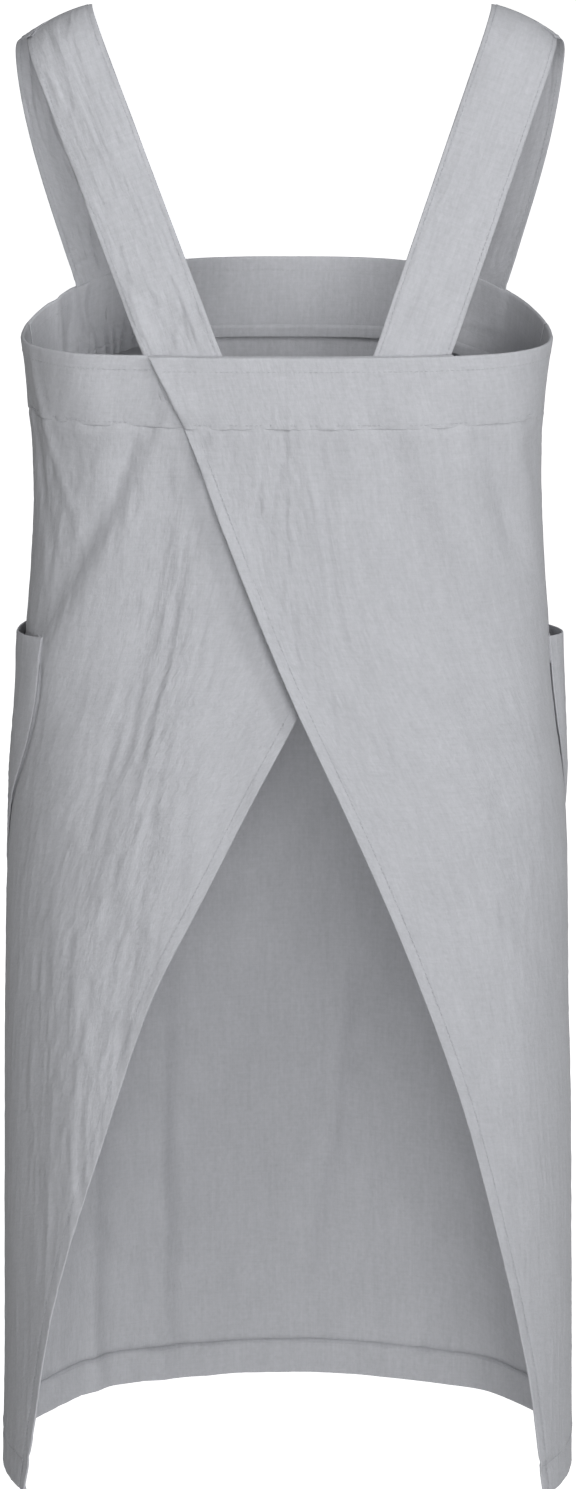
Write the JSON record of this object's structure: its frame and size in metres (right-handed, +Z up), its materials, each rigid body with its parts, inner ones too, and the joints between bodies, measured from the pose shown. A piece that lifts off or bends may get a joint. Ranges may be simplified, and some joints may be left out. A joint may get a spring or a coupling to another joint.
{
  "type": "cross back apron",
  "caption": "Plain grey cloth apron in its worn shape, with wide shoulder straps, a folded top band, patch pockets and two back panels that cross behind the waist.",
  "frame": {"origin": "midway between the shoulders, level with the highest edges of the two straps", "axes": "+X towards the wearer's right, +Y towards the wearer's front, +Z up"},
  "size_m": [0.402, 0.2751, 1.0209],
  "materials": {
    "cloth": "matte plain weave linen and cotton"
  },
  "bodies": {
    "root": {"front_panel": "cloth", "left_back_panel": "cloth", "right_back_panel": "cloth", "front_band": "cloth", "left_back_band": "cloth", "right_back_band": "cloth", "front_hem": "cloth", "left_back_hem": "cloth", "right_back_hem": "cloth", "left_back_edge_hem": "cloth", "right_back_edge_hem": "cloth", "left_pocket": "cloth", "right_pocket": "cloth", "left_pocket_hem": "cloth", "right_pocket_hem": "cloth", "left_strap": "cloth", "right_strap": "cloth"}
  },
  "joints": []
}
